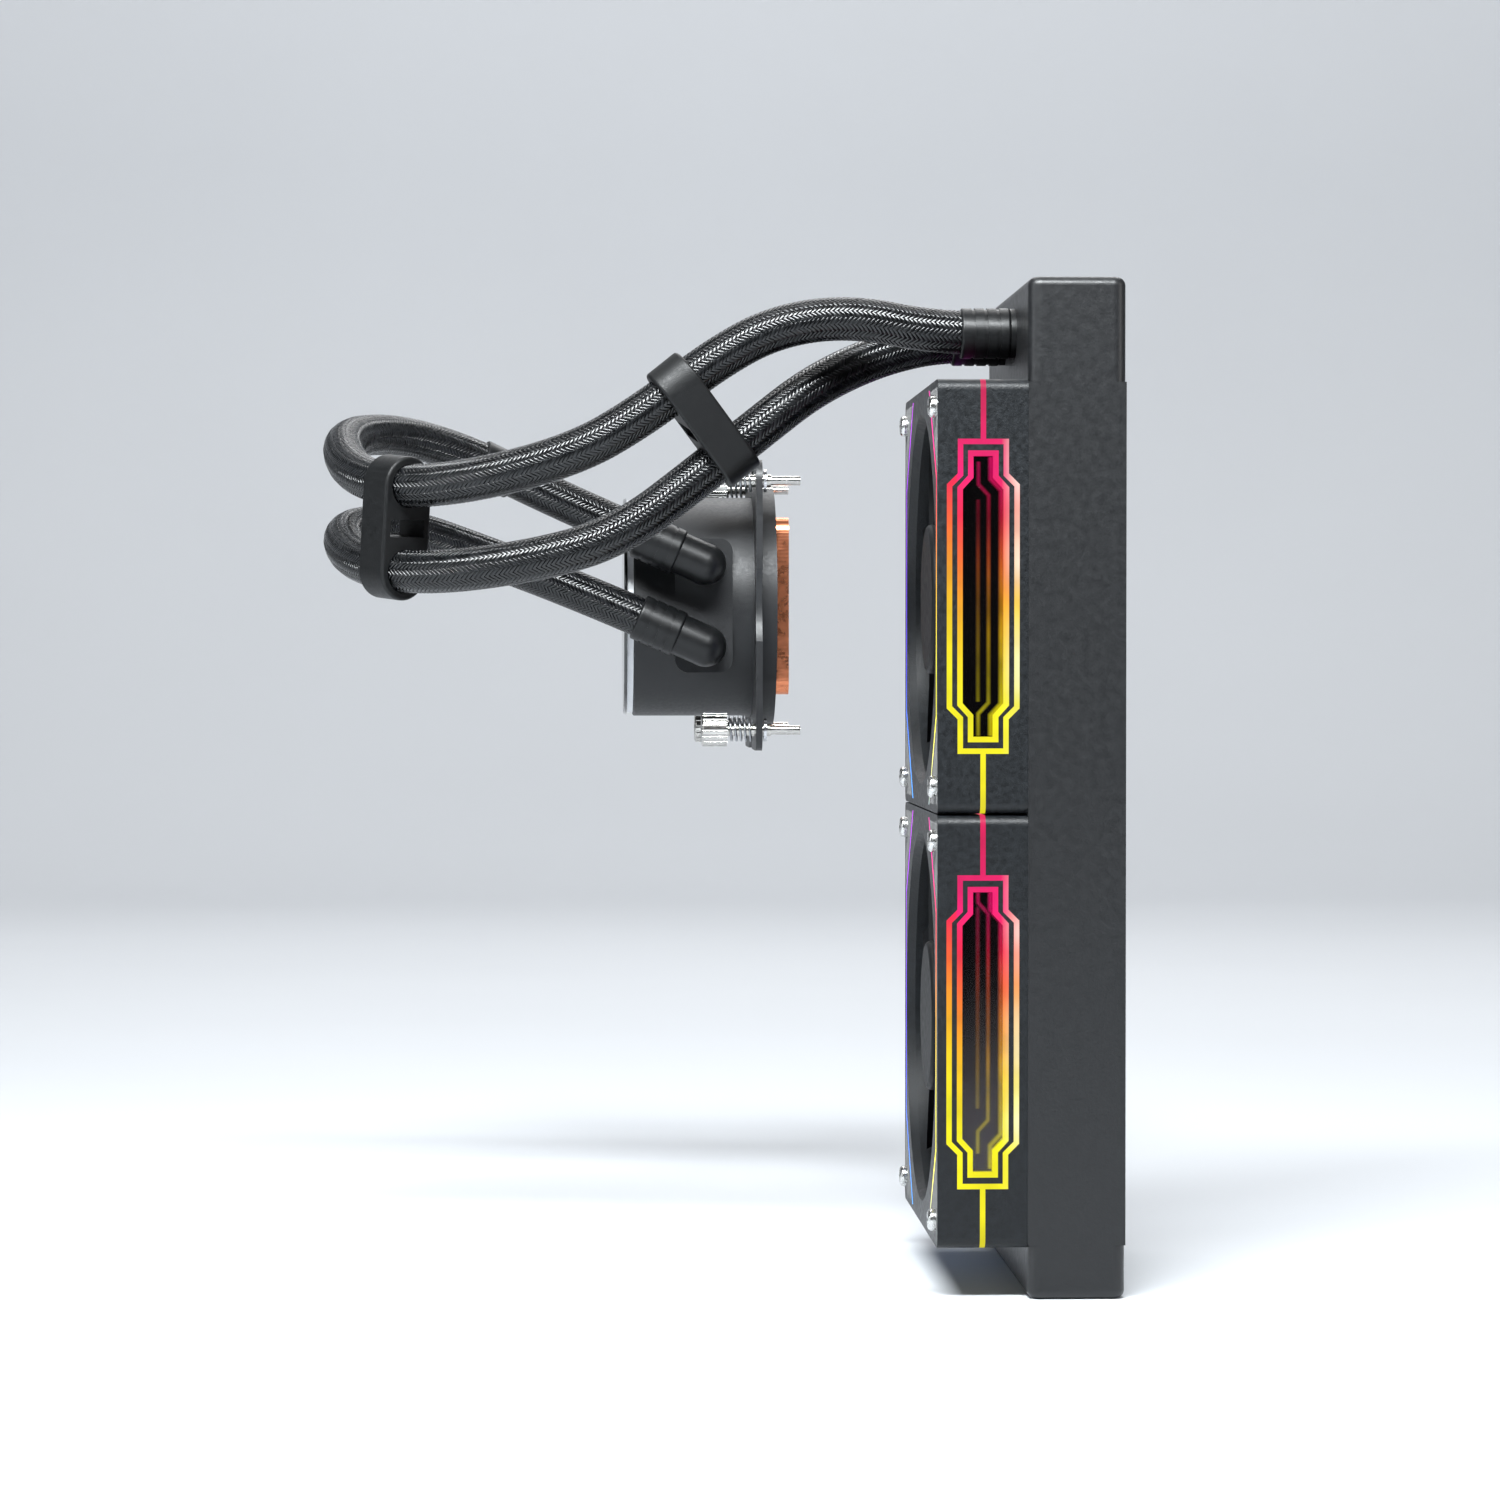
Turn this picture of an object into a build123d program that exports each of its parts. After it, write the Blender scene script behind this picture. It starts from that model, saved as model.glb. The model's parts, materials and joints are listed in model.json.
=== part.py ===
from build123d import *
from math import atan2, cos, degrees, pi, radians, sin, sqrt, tan
import os

# Closed-loop liquid cooler: a two-fan radiator, two braided hoses and a pump head.
# Frame, millimetres: origin at the centre of the outer bolt rectangle on the radiator's case
# face, +X out of that face, +Y across the radiator, +Z up along it.

# Radiator
RAD_DEPTH = 27.0
RAD_WIDTH = 120.0
CORE_HALF = 119.0          # from the middle to each header plate
HEADER_THICK = 1.6
TOP_TANK_END = 148.0
BOTTOM_TANK_END = -134.0
TANK_WALL = 1.6
TANK_CORNER = 3.5
TUBE_COUNT = 11
TUBE_THICK = 1.8
TUBE_DEPTH = 20.0
TUBE_WALL = 0.3
TUBE_PITCH = 7.98
TUBE_OVERRUN = 2.0         # how far the flat tubes reach past each header plate
FIN_PITCH = 4.0
FIN_SHEET = 0.3
CHANNEL_WIDTH = 13.0
CHANNEL_WALL = 1.2
TAPPED_R = 1.5              # case side
FAN_SCREW_R = 1.75          # fan screws and the holes they turn in
PORT_Y = {"upper": -20.0, "lower": 10.0}
PORT_Z = 135.0
PORT_FLANGE = 1.5
TANK_DIVIDER_Y = -4.0

# Fans
FAN_SIDE = 119.6
FAN_PITCH = 120.0
FAN_DEPTH = 25.0
FAN_CORNER = 3.0
BORE_R = 52.2
ROTOR_R = 50.9
HOLE_HALF = 52.5           # half of the 105 mm hole pitch
HOLE_R = 2.15
SCREW_REACH = 3.2          # how far a fan screw's tip passes the frame's back face
HUB_R = 21.5
HUB_WALL = 1.5
BLADE_COUNT = 9
SHAFT_R = 1.5
RUNNING_GAP = 0.05
LINE_WIDTH = 1.5           # width of every light line
LINE_DEPTH = 1.2
BRACKET_Y = 54.5           # light brackets on the front face
BRACKET_Z = 33.0
BAND_X = -FAN_DEPTH / 2
MIRROR_DEPTH = 4.0
OUTER_LIGHT = (7.05, 10.05, 33.8, 30.8, 43.3)   # neck half, body half, neck end, body end, bar
INNER_LIGHT = (4.22, 7.15, 33.2, 30.0, 40.1)
FANS = {"upper": FAN_PITCH / 2, "lower": -FAN_PITCH / 2}

# Hoses
HOSE_R = 6.1
LINER_R = 5.3
BORE_HOSE_R = 3.5
FERRULE_R = 7.2
FERRULE_LENGTH = 14.0
CLIP_WIDTH = 11.0
CLIP_WALL = 2.3
HOSE_GAP = 24.5            # between the hoses' centres in a clip
ROUTES = {
    "upper": [
        (-28.5, -20, 135), (-49, -20, 135), (-73, -20, 140), (-95, -20, 137),
        (-113.5, -20.8, 126.5), (-131, -22, 112.5), (-153, -23.5, 99.5), (-191, -15, 91),
        (-215, 12.5, 94.5), (-222, 50, 108), (-209, 83, 112), (-188, 101.5, 107.5),
        (-163.5, 108.3, 95.8), (-143, 109, 86.5), (-119, 109, 76),
    ],
    "lower": [
        (-28.5, 10, 135), (-44, 10, 135), (-59, 7.2, 132), (-73, 1.5, 126.5),
        (-86, -7.5, 119), (-97.5, -12.2, 109.9), (-118.6, -13.6, 93.1), (-135, -18, 80.5),
        (-153, -20.5, 72.5), (-191, -14.5, 66.5), (-215, 12.5, 70), (-222, 50, 81),
        (-207, 86, 84.5), (-175, 108, 73.5), (-143, 109, 61), (-119, 109, 50.5),
    ],
}
CLIP_RUNS = {"loop_clip": (7, 9), "middle_clip": (4, 5)}   # first point of the run held, per hose
COLLAR_RUN = 11            # run of the upper hose that carries the collar
COLLAR_LENGTH = 12.0

# Pump head: heights are measured from the cold plate's face towards -X
PLATE_X = -84.0
PUMP_Y = 152.5
PUMP_Z = 59.64
PUMP_R = 35.0
VANE_COUNT = 7
ELBOW_TURN = degrees(atan2(10.5, 24.0))
ELBOW_Y = 109.0
ELBOW_R = 6.5
BARB_LENGTH = 13.0
ELBOW_ARM = 9.0
SPIGOT_R = 5.5
ELBOW_NECK = 8.5            # from the elbow's corner to the boss it turns in
BOSS_Y = ELBOW_Y + ELBOW_NECK
CPU_HALF = 39.0            # half of the 78 mm hole pitch
SCREW_SHANK_R = 2.0
SPRING_R = 3.3
SPRING_WIRE_R = 0.35

os.makedirs("parts", exist_ok=True)
ON_MIN = (Align.CENTER, Align.CENTER, Align.MIN)


def block(x, y, z):
    """A box from its lowest and highest corner on each axis."""
    size = Box(x[1] - x[0], y[1] - y[0], z[1] - z[0])
    return Pos((x[0] + x[1]) / 2, (y[0] + y[1]) / 2, (z[0] + z[1]) / 2) * size


def rod_x(x, y, z, r):
    return Pos(x[0], y, z) * Rot(0, 90, 0) * Cylinder(r, x[1] - x[0], align=ON_MIN)


def rod_y(x, y, z, r):
    return Pos(x, y[0], z) * Rot(-90, 0, 0) * Cylinder(r, y[1] - y[0], align=ON_MIN)


def ring_x(x, y, z, r, hole):
    return rod_x(x, y, z, r) - rod_x((x[0] - 1, x[1] + 1), y, z, hole)


def outline_x(points, x):
    """A prism along X over a closed outline of (y, z) points."""
    wire = Polyline([(x[0], y, z) for y, z in points], close=True)
    return extrude(make_face(wire), amount=x[1] - x[0], dir=(1, 0, 0))


def save(name, shape):
    if isinstance(shape, (list, tuple)):
        solids = [s for item in shape for s in item.solids()]
        shape = Compound(children=solids)
    shape.label = name
    export_step(shape, f"parts/{name}.step")


# ---------------------------------------------------------------- radiator


def tank(z_core, z_end):
    low, high = min(z_core, z_end), max(z_core, z_end)
    shell = block((-RAD_DEPTH, 0), (-RAD_WIDTH / 2, RAD_WIDTH / 2), (low, high))
    corners = shell.edges().filter_by(Axis.Z)
    shell = fillet(corners, TANK_CORNER)
    end = shell.faces().sort_by(Axis.Z)[-1 if z_end > z_core else 0]
    shell = fillet(end.edges(), TANK_CORNER * 0.7)
    inside_z = (low - 1, high - TANK_WALL) if z_end > z_core else (low + TANK_WALL, high + 1)
    half = RAD_WIDTH / 2 - TANK_WALL
    room = block((-RAD_DEPTH + TANK_WALL, -TANK_WALL), (-half, half), inside_z)
    room = fillet(room.edges().filter_by(Axis.Z), TANK_CORNER - TANK_WALL)
    return shell - room


def top_tank():
    body = tank(CORE_HALF + HEADER_THICK, TOP_TANK_END)
    half = RAD_WIDTH / 2
    divider = block(
        (-RAD_DEPTH + TANK_WALL, -TANK_WALL),
        (TANK_DIVIDER_Y - 0.6, TANK_DIVIDER_Y + 0.6),
        (CORE_HALF + HEADER_THICK, TOP_TANK_END - TANK_WALL),
    )
    body += divider
    for y in PORT_Y.values():
        body -= rod_x((-RAD_DEPTH - 1, -RAD_DEPTH + 3), y, PORT_Z, BORE_HOSE_R)
    body += rod_y(-RAD_DEPTH / 2, (half - 3.0, half), PORT_Z, 6.5)
    return body - rod_y(-RAD_DEPTH / 2, (half - 4, half + 1), PORT_Z, 4.0)


def header_plate(z):
    plate = block((-RAD_DEPTH, 0), (-RAD_WIDTH / 2, RAD_WIDTH / 2), z)
    plate = fillet(plate.edges().filter_by(Axis.Z), TANK_CORNER)
    for y in tube_places():
        plate -= tube_prism(y, (z[0] - 1, z[1] + 1), 0)
    return plate


def tube_places():
    middle = (TUBE_COUNT - 1) / 2
    return [(i - middle) * TUBE_PITCH for i in range(TUBE_COUNT)]


def tube_prism(y, z, inset):
    """A flat tube's outline, rounded at both edges, drawn in by inset."""
    slot = SlotOverall(TUBE_DEPTH - 2 * inset, TUBE_THICK - 2 * inset)
    return Pos(-RAD_DEPTH / 2, y, z[0]) * extrude(slot, z[1] - z[0])


def flat_tubes():
    reach = CORE_HALF + HEADER_THICK + TUBE_OVERRUN
    return [
        tube_prism(y, (-reach, reach), 0) - tube_prism(y, (-reach - 1, reach + 1), TUBE_WALL)
        for y in tube_places()
    ]


def fin_strip(y, height):
    """One folded strip of fin, a zigzag that touches the tube on each side."""
    step = FIN_PITCH / 2
    count = int((CORE_HALF - 1) / step)
    lean = FIN_SHEET * sqrt(height**2 + step**2) / step
    low, high = y - height / 2, y + height / 2 - lean
    edge = [(high if i % 2 else low, i * step) for i in range(-count, count + 1)]
    other = [(p + lean, z) for p, z in reversed(edge)]
    sides = ((-RAD_DEPTH - TUBE_DEPTH) / 2, (-RAD_DEPTH + TUBE_DEPTH) / 2)
    return outline_x(edge + other, sides)


def fin_strips():
    height = TUBE_PITCH - TUBE_THICK - 0.1
    first = tube_places()[0] - TUBE_PITCH / 2
    return [fin_strip(first + i * TUBE_PITCH, height) for i in range(TUBE_COUNT + 1)]


def side_channel(side):
    outer, inner = RAD_WIDTH / 2, RAD_WIDTH / 2 - CHANNEL_WIDTH
    span = sorted((side * inner, side * outer))
    body = block((-RAD_DEPTH, 0), span, (-CORE_HALF, CORE_HALF))
    room = (span[0] + CHANNEL_WALL, span[1] - CHANNEL_WALL)
    hollow = (-RAD_DEPTH + CHANNEL_WALL, -CHANNEL_WALL)
    body -= block(hollow, room, (-CORE_HALF - 1, CORE_HALF + 1))
    for fan_z in FANS.values():
        for z in (fan_z - HOLE_HALF, fan_z + HOLE_HALF):
            body -= rod_x((-CHANNEL_WALL - 0.5, 1), side * HOLE_HALF, z, TAPPED_R)
            fan_wall = (-RAD_DEPTH - 1, -RAD_DEPTH + CHANNEL_WALL + 0.5)
            body -= rod_x(fan_wall, side * HOLE_HALF, z, FAN_SCREW_R)
    return body


def port(y):
    flange = rod_x((-RAD_DEPTH - PORT_FLANGE, -RAD_DEPTH), y, PORT_Z, 7.0)
    pipe = rod_x((-RAD_DEPTH - FERRULE_LENGTH, -RAD_DEPTH + TANK_WALL), y, PORT_Z, BORE_HOSE_R)
    return flange + pipe - rod_x((-60, 0), y, PORT_Z, 2.5)


def fill_plug():
    half = RAD_WIDTH / 2
    x, z = -RAD_DEPTH / 2, PORT_Z
    plug = rod_y(x, (half - 4, half + 1.0), z, 4.0) + rod_y(x, (half + 1.0, half + 3.0), z, 5.8)
    key = Pos(x, half + 0.5, z) * Rot(-90, 0, 0) * extrude(RegularPolygon(2.3, 6), 4)
    return plug - key


def fill_plug_seal():
    half = RAD_WIDTH / 2
    x, z = -RAD_DEPTH / 2, PORT_Z
    return rod_y(x, (half, half + 1.0), z, 5.4) - rod_y(x, (half - 1, half + 2), z, 4.0)


# ---------------------------------------------------------------- fans, about their own centre


def rounded_square(half, corner, x):
    body = block(x, (-half, half), (-half, half))
    return fillet(body.edges().filter_by(Axis.X), corner)


def bottle(shape, grow, y):
    """A prism along Y over the stepped outline of the side light, grown all round."""
    neck, body, neck_end, body_end, bar = shape
    neck, body, bar = neck + grow, body + grow, bar + grow
    turn = grow * tan(pi / 8)
    neck_end, body_end = neck_end + turn, body_end + turn
    right = [(body, 0), (body, body_end), (neck, neck_end), (neck, bar)]
    top = right[1:] + [(-x, z) for x, z in reversed(right[1:])]
    points = top + [(x, -z) for x, z in reversed(top)]
    wire = Polyline([(BAND_X + x, y[0], z) for x, z in points], close=True)
    return extrude(make_face(wire), amount=y[1] - y[0], dir=(0, 1, 0))


def side_range(side, depth_in, depth_out):
    half = FAN_SIDE / 2
    return sorted((side * (half - depth_in), side * (half - depth_out)))


def light_band(inset):
    """The light line round the frame, without the stretch that each mirror takes."""
    half = FAN_SIDE / 2
    x = (BAND_X - LINE_WIDTH / 2, BAND_X + LINE_WIDTH / 2)
    band = rounded_square(half, FAN_CORNER, x)
    band -= rounded_square(half - LINE_DEPTH, FAN_CORNER - LINE_DEPTH, (x[0] - 1, x[1] + 1))
    end = OUTER_LIGHT[4] + inset
    return band - block((x[0] - 1, x[1] + 1), (-half - 1, half + 1), (-end, end))


def bracket(side, x):
    """One light bracket of the front face: a straight line with a diagonal at each end."""
    y, z, w = BRACKET_Y, BRACKET_Z, LINE_WIDTH / 2
    turn = w * tan(pi / 8)
    reach = FAN_SIDE / 2 - 1.2 - z
    outer = [(y + w, z + turn), (y + w - reach, z + turn + reach)]
    inner = [(y - w - reach, z - turn + reach), (y - w, z - turn)]
    half = outer + inner
    points = half + [(p, -q) for p, q in reversed(half)]
    ends = block((x[0] - 1, x[1] + 1), (-80, 80), (z + reach - 0.4, 80))
    shape = outline_x([(side * p, q) for p, q in points], x)
    return shape - ends - mirror(ends, about=Plane.XY)


def pad_outline(grow):
    half = FAN_SIDE / 2 - 2.2 + grow
    line = BRACKET_Y + BRACKET_Z + 3.4 - grow
    return [(half, half), (half, line - half), (line - half, half)]


def corner_pad(y_side, z_side, x, hole):
    points = [(y_side * p, z_side * q) for p, q in pad_outline(0)]
    pad = outline_x(points, x)
    if not hole:
        return pad
    return pad - rod_x((x[0] - 1, x[1] + 1), y_side * HOLE_HALF, z_side * HOLE_HALF, HOLE_R)


CORNERS = [(a, b) for a in (-1, 1) for b in (-1, 1)]


def fan_frame():
    half = FAN_SIDE / 2
    body = rounded_square(half, FAN_CORNER, (-FAN_DEPTH, 0))
    body -= rod_x((-FAN_DEPTH - 1, 1), 0, 0, BORE_R)
    flare = Pos(-FAN_DEPTH, 0, 0) * Rot(0, 90, 0) * Cone(BORE_R + 1.0, BORE_R, 2.5, align=ON_MIN)
    body -= flare
    for y, z in CORNERS:
        body -= rod_x((-FAN_DEPTH - 1, 1), y * HOLE_HALF, z * HOLE_HALF, HOLE_R)
        body -= corner_pad(y, z, (-FAN_DEPTH - 1, -FAN_DEPTH + 0.8), False)
    for side in (-1, 1):
        body -= bracket(side, (-FAN_DEPTH - 1, -FAN_DEPTH + LINE_DEPTH))
        slot = bottle(OUTER_LIGHT, 0, side_range(side, 2.5, -1))
        slot -= bottle(OUTER_LIGHT, -LINE_WIDTH, side_range(side, 3.5, -2))
        body -= slot
        body -= bottle(INNER_LIGHT, 0, side_range(side, MIRROR_DEPTH, -1))
        body -= led_board(side)
    body -= light_band(0)
    base = rod_x((-3.5, 0), 0, 0, 22.0) + rod_x((-19, -3.5), 0, 0, 6.0)
    for turn in (45, 135, 225, 315):
        arm = block((-4.5, 0), (18, BORE_R + 2), (-3.2, 3.2))
        base += Rot(turn, 0, 0) * arm
    return body + base - rod_x((-25, 1), 0, 0, 4.5)


def led_board(side):
    y = side_range(side, MIRROR_DEPTH + 0.8, MIRROR_DEPTH)
    return block((BAND_X - 3.5, BAND_X + 3.5), y, (-36, 36))


def side_lights():
    """Both mirror outlines on each side, and the line that joins them round the frame."""
    shapes = [light_band(0)]
    for side in (-1, 1):
        for line, depth in ((OUTER_LIGHT, 2.5), (INNER_LIGHT, MIRROR_DEPTH - 0.8)):
            loop = bottle(line, 0, side_range(side, depth, 0))
            shapes.append(loop - bottle(line, -LINE_WIDTH, side_range(side, depth + 1, -1)))
    return shapes


def side_mirrors():
    return [
        bottle(INNER_LIGHT, 0, side_range(side, MIRROR_DEPTH, MIRROR_DEPTH - 0.8))
        for side in (-1, 1)
    ]


def side_windows():
    return [bottle(INNER_LIGHT, -LINE_WIDTH, side_range(side, 1.2, 0.3)) for side in (-1, 1)]


def blade_section(radius, chord, pitch, camber, thick):
    """A thin cambered strip in the plane at right angles to the blade's length."""
    half = chord / 2
    place = Plane(origin=(-14, radius, 0), x_dir=(0, 0, 1), z_dir=(0, 1, 0))
    top = ThreePointArc((-half, 0), (0, camber + thick / 2), (half, 0))
    low = ThreePointArc((half, 0), (0, camber - thick / 2), (-half, 0))
    face = make_face(top + low)
    return place * Rot(0, 0, pitch) * face


def blade():
    sections = [
        blade_section(17.0, 23, 42, 2.6, 2.4),
        blade_section(34.0, 27, 33, 2.8, 2.0),
        blade_section(52.5, 31, 26, 3.0, 1.7),
    ]
    shape = loft(sections)
    shape &= rod_x((-24, -4), 0, 0, ROTOR_R)
    return shape - rod_x((-40, 10), 0, 0, HUB_R - 0.6)


def fan_rotor():
    hub = rod_x((-23.5, -5), 0, 0, HUB_R)
    hub = fillet(hub.edges().filter_by(GeomType.CIRCLE).sort_by(Axis.X)[0], 1.5)
    hub -= rod_x((-21.5, -4), 0, 0, HUB_R - HUB_WALL)
    hub += rod_x((-21.5, -19.6), 0, 0, 3.2)
    hub -= rod_x((-22.8, -18), 0, 0, SHAFT_R)
    one = blade()
    for i in range(BLADE_COUNT):
        hub += Rot(i * 360 / BLADE_COUNT, 0, 0) * one
    return hub


def fan_shaft():
    return rod_x((-22.8, -4.2), 0, 0, SHAFT_R)


def fan_bearing():
    return ring_x((-19, -3.5), 0, 0, 4.5, SHAFT_R + RUNNING_GAP)


def fan_magnet():
    return ring_x((-20.5, -7), 0, 0, HUB_R - HUB_WALL, 18.4)


def stator(x, outer, inner, poles):
    """A laminated core with one wound coil on each pole."""
    core = ring_x(x, 0, 0, inner + 3, inner)
    tip = outer - 1.6
    shapes = []
    for i in range(poles):
        turn = Rot(i * 360 / poles, 0, 0)
        arm = block(x, (inner + 2, outer - 0.5), (-1.8, 1.8))
        shoe = ring_x(x, 0, 0, outer, tip) & block(x, (0, outer + 1), (-outer * 0.5, outer * 0.5))
        core += turn * (arm + shoe)
        wide = (x[0] - 1.2, x[1] + 1.2)
        coil = block(wide, (inner + 3.6, tip - 0.6), (-3.4, 3.4))
        coil = fillet(coil.edges().filter_by(Axis.Y), 1.1)
        shapes.append(turn * (coil - block(x, (0, outer), (-1.8, 1.8))))
    return core, shapes


def fan_circuit_board():
    board = ring_x((-4.7, -3.5), 0, 0, 17.0, 6.0)
    for y, z, w in ((10, 6, 3), (-9, 8, 2.4), (-11, -4, 3.2), (8, -9, 2)):
        board += block((-5.6, -4.7), (y - w / 2, y + w / 2), (z - w / 2, z + w / 2))
    return board


def pan_screw(tip):
    """A cross-head screw on the front face; tip is where its shank ends, in X."""
    face = -FAN_DEPTH
    head = rod_x((face - 2.2, face), 0, 0, 3.1)
    head = fillet(head.edges().filter_by(GeomType.CIRCLE).sort_by(Axis.X)[0], 1.2)
    for turn in (0, 90):
        head -= Rot(turn, 0, 0) * block((face - 3, face - 1.0), (-1.7, 1.7), (-0.4, 0.4))
    return head + rod_x((face, tip), 0, 0, FAN_SCREW_R)


def fan_corner_pads():
    return [corner_pad(y, z, (-FAN_DEPTH, -FAN_DEPTH + 0.8), True) for y, z in CORNERS]


def save_fan(name, place):
    """The nodes that each fan has of its own."""
    brackets = [bracket(s, (-FAN_DEPTH, -FAN_DEPTH + LINE_DEPTH)) for s in (-1, 1)]
    save(f"{name}_fan_frame", place * fan_frame())
    save(f"{name}_fan_face_lights", [place * light for light in brackets])
    save(f"{name}_fan_side_lights", [place * light for light in side_lights()])
    save(f"{name}_fan_rotor", place * fan_rotor())
    save(f"{name}_fan_shaft", place * fan_shaft())
    save(f"{name}_fan_magnet_ring", place * fan_magnet())


def save_fan_pairs(places):
    """Small fixed pieces, one node for the same piece of both fans."""
    core, coils = stator((-17, -9.5), 17.4, 6.0, 4)
    groups = {
        "side_mirrors": side_mirrors(),
        "side_windows": side_windows(),
        "led_boards": [led_board(side) for side in (-1, 1)],
        "corner_pads": fan_corner_pads(),
        "bearings": [fan_bearing()],
        "stator_cores": [core],
        "coils": coils,
        "circuit_boards": [fan_circuit_board()],
    }
    for part, shapes in groups.items():
        save(f"fan_{part}", [place * shape for place in places for shape in shapes])


def fan_screws():
    screw = pan_screw(SCREW_REACH)
    return [
        Pos(-RAD_DEPTH, y * HOLE_HALF, fan_z + z * HOLE_HALF) * screw
        for fan_z in FANS.values()
        for y, z in CORNERS
    ]


# ---------------------------------------------------------------- hoses


def bend_radii(points):
    """The largest arcs that the runs have room for."""
    radii = []
    for a, b, c in zip(points, points[1:], points[2:]):
        into, out = Vector(*b) - Vector(*a), Vector(*c) - Vector(*b)
        turn = radians(into.get_angle(out))
        radii.append(0.45 * min(into.length, out.length) / tan(turn / 2))
    return radii


def hose_path(points):
    return FilletPolyline(*points, radius=bend_radii(points))


def along(path, r):
    """A solid rod of radius r along a path."""
    start = Plane(origin=path @ 0, z_dir=path % 0)
    return sweep(start * Circle(r), path=path)


def hose_layers(points):
    path = hose_path(points)
    outer, middle, inner = along(path, HOSE_R), along(path, LINER_R), along(path, BORE_HOSE_R)
    sleeve, liner = outer - middle, middle - inner
    expected = pi * (HOSE_R**2 - BORE_HOSE_R**2) * path.length
    print("hose length", round(path.length, 1), "radii", [round(r) for r in bend_radii(points)])
    print("hose volume over section times length", round((sleeve.volume + liner.volume) / expected, 4))
    return sleeve, liner


def run_frame(points, i):
    """Middle and direction of the run that starts at point i."""
    a, b = Vector(*points[i]), Vector(*points[i + 1])
    return (a + b) * 0.5, (b - a).normalized()


def ferrules(points):
    ends = []
    for a, b in ((points[0], points[1]), (points[-1], points[-2])):
        place = Plane(origin=a, z_dir=Vector(*b) - Vector(*a))
        cap = Cylinder(FERRULE_R, FERRULE_LENGTH, align=ON_MIN)
        cap = fillet(cap.edges().filter_by(GeomType.CIRCLE), 0.8)
        cap -= Pos(0, 0, -1) * Cylinder(HOSE_R, FERRULE_LENGTH + 2, align=ON_MIN)
        for z in (3.5, 7.0, 10.5):
            groove = Cylinder(FERRULE_R + 1, 0.9) - Cylinder(FERRULE_R - 0.35, 0.9)
            cap -= Pos(0, 0, z) * groove
        ends.append(place * cap)
    return ends


def hose_clip(name):
    """A closed band across both hoses, with a round seat for each."""
    upper, lower = CLIP_RUNS[name]
    top, direction = run_frame(ROUTES["upper"], upper)
    low, _ = run_frame(ROUTES["lower"], lower)
    place = Plane(origin=(top + low) * 0.5, x_dir=top - low, z_dir=direction)
    wide = HOSE_GAP + 2 * (HOSE_R + CLIP_WALL)
    band = extrude(SlotOverall(wide, 2 * (HOSE_R + CLIP_WALL)), CLIP_WIDTH / 2, both=True)
    band = fillet(band.edges().filter_by(GeomType.CIRCLE), 0.9)
    half_gap = (top - low).length / 2
    for side in (-1, 1):
        band -= Pos(side * half_gap, 0, 0) * Cylinder(HOSE_R + 0.15, CLIP_WIDTH + 2)
    band -= Box(5.0, 2 * (HOSE_R + CLIP_WALL) - 4.6, CLIP_WIDTH + 2)
    return place * band


def collar():
    middle, direction = run_frame(ROUTES["upper"], COLLAR_RUN)
    shell = Cylinder(HOSE_R + 0.9, COLLAR_LENGTH)
    shell = fillet(shell.edges().filter_by(GeomType.CIRCLE), 0.5)
    shell -= Cylinder(HOSE_R + 0.1, COLLAR_LENGTH + 2)
    return Plane(origin=middle, z_dir=direction) * shell


# ---------------------------------------------------------------- pump head


def up(a, b):
    """The X range between two heights above the cold plate's face."""
    return (PLATE_X - b, PLATE_X - a)


def pump_rod(a, b, r):
    return rod_x(up(a, b), PUMP_Y, PUMP_Z, r)


def pump_ring(a, b, r, hole):
    return pump_rod(a, b, r) - pump_rod(a - 1, b + 1, hole)


def pump_square(a, b, half, corner):
    body = block(up(a, b), (PUMP_Y - half, PUMP_Y + half), (PUMP_Z - half, PUMP_Z + half))
    return fillet(body.edges().filter_by(Axis.X), corner)


def round_pump(count, radius, shape):
    """Copies of a shape that stands at the pump's axis, on a circle round it."""
    turns = [2 * pi * (i + 0.5) / count for i in range(count)]
    return [Pos(0, radius * cos(t), radius * sin(t)) * shape for t in turns]


def cold_plate():
    plate = pump_square(0, 4, 28, 5)
    plate += pump_square(4, 4.6, 14, 1)
    for i in range(16):
        z = PUMP_Z - 13.6 + i * 1.78
        plate += block(up(4.4, 7.5), (PUMP_Y - 13, PUMP_Y + 13), (z, z + 0.5))
    for hole in round_pump(8, 26.0, pump_rod(-1, 5, 1.25)):
        plate -= hole
    return plate


def cold_plate_screws():
    """Countersunk heads sit in the plate's face, out of the way of the processor."""
    screw = pump_rod(0.6, 8.0, 1.25)
    return round_pump(8, 26.0, screw)


def cold_plate_seal():
    return Pos(PLATE_X - 4.8, PUMP_Y, PUMP_Z) * Rot(0, 90, 0) * Torus(22.2, 0.8)


def base_frame():
    base = pump_rod(4, 9, 38.0)
    base -= pump_rod(3, 10, 19.8)
    base -= pump_ring(3, 5.6, 23.0, 21.4)
    for hole in round_pump(8, 26.0, pump_rod(3, 8, 1.25)):
        base -= hole
    return base


def flow_plate():
    """Divides the cold chamber from the impeller's, and carries the lower end of the shaft."""
    plate = pump_ring(9, 11, 19.8, 6.0)
    plate += pump_ring(11, 24, 3.4, 1.5) + pump_ring(9, 11, 3.4, 1.5)
    for turn in (0, 120, 240):
        arm = block((-11, -9), (3, 6.6), (-1.0, 1.0))
        plate += Pos(PLATE_X, PUMP_Y, PUMP_Z) * Rot(turn, 0, 0) * arm
    return plate


def impeller():
    disc = pump_rod(29.5, 31.5, 17.0) + pump_rod(24.5, 42.5, 5.0)
    vane = block((-29.6, -25.0), (4.0, 16.4), (1.7, 3.1))
    for i in range(VANE_COUNT):
        disc += Pos(PLATE_X, PUMP_Y, PUMP_Z) * Rot(i * 360 / VANE_COUNT, 0, 0) * vane
    return disc - pump_rod(20, 50, SHAFT_R + RUNNING_GAP)


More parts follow.
